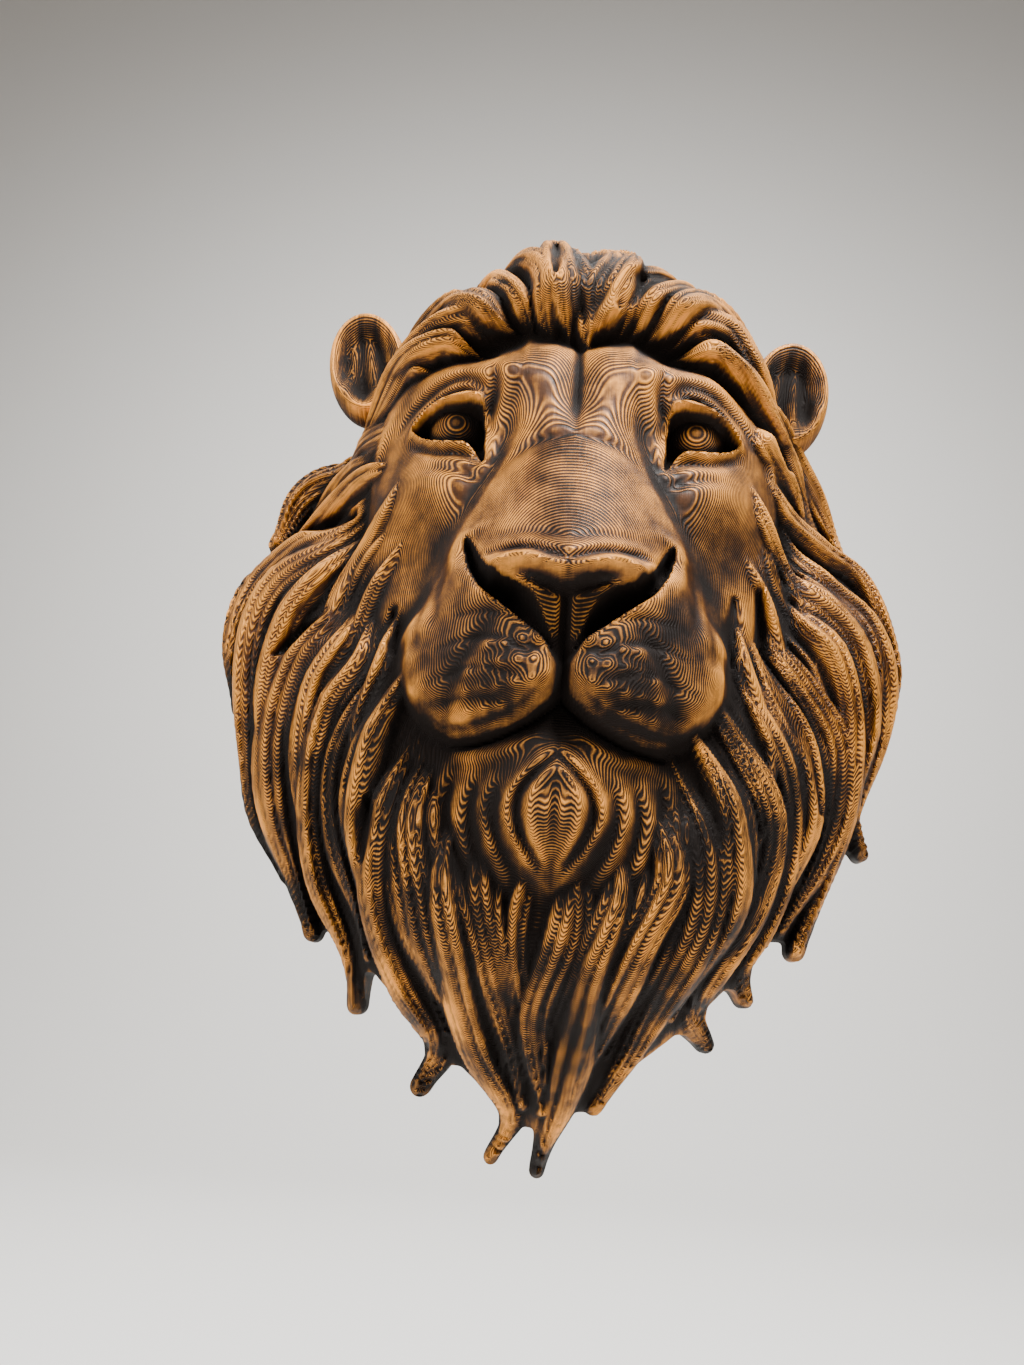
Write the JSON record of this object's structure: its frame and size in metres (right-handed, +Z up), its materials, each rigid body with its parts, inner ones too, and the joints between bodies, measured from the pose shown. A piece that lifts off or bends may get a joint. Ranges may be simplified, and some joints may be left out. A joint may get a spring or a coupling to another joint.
{
  "type": "lion head wall mask",
  "caption": "Lion's face in a full mane of overlapping locks, hollow-cheeked and long-nosed, with a beard to a point and a flat back, finished as antique gold.",
  "frame": {"origin": "On the flat back of the mask, on its midline, level with the nostrils, where it rests on the wall.", "axes": "+Z runs up to the crown, +Y runs into the wall, so the face looks along -Y, and +X runs to the right as seen from in front."},
  "size_m": [0.1674, 0.0667, 0.2178],
  "materials": {
    "antique_gold_paint": "satin antique gold paint"
  },
  "bodies": {
    "root": {"lion_head": "antique_gold_paint"}
  },
  "joints": []
}
